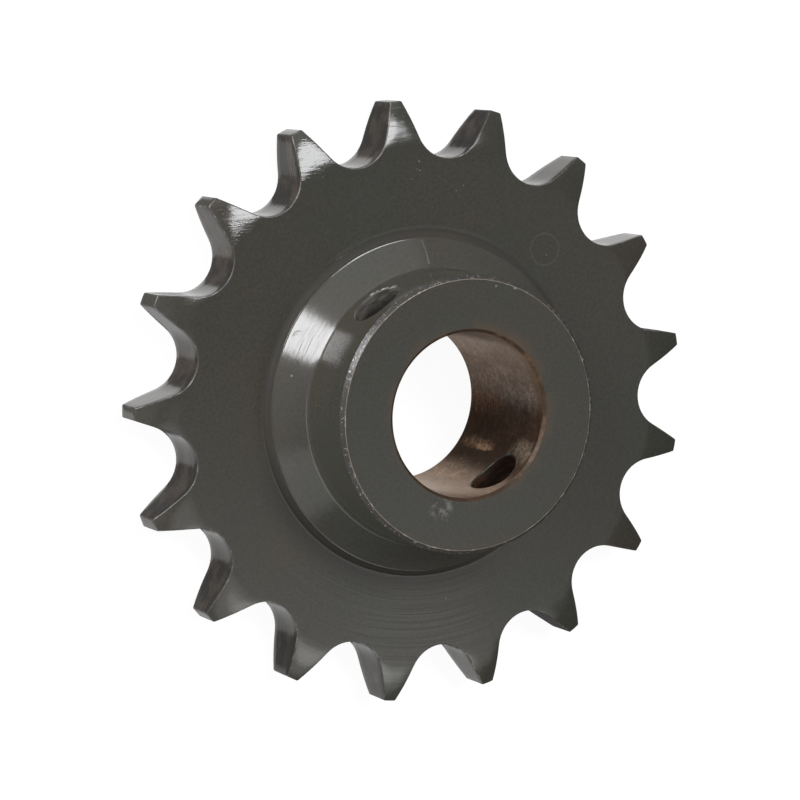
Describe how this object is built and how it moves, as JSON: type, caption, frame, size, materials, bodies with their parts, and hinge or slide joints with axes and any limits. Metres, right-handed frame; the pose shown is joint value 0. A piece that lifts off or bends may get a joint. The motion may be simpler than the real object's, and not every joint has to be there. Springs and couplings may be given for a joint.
{
  "type": "chain sprocket",
  "caption": "One-piece steel chain sprocket: a toothed plate with a turned hub on one side, a plain shaft bore and a pin hole drilled across the hub.",
  "frame": {"origin": "centre of the shaft bore at the plate's flat back face", "axes": "+Z along the bore from the back face towards the hub's front face; Y along the pin hole, with a tooth gap centred on -Y and a tooth on +Y"},
  "size_m": [0.074, 0.0737, 0.02],
  "materials": {
    "steel": "satin, turned and lightly oiled"
  },
  "bodies": {
    "root": {"sprocket": "steel"}
  },
  "joints": []
}
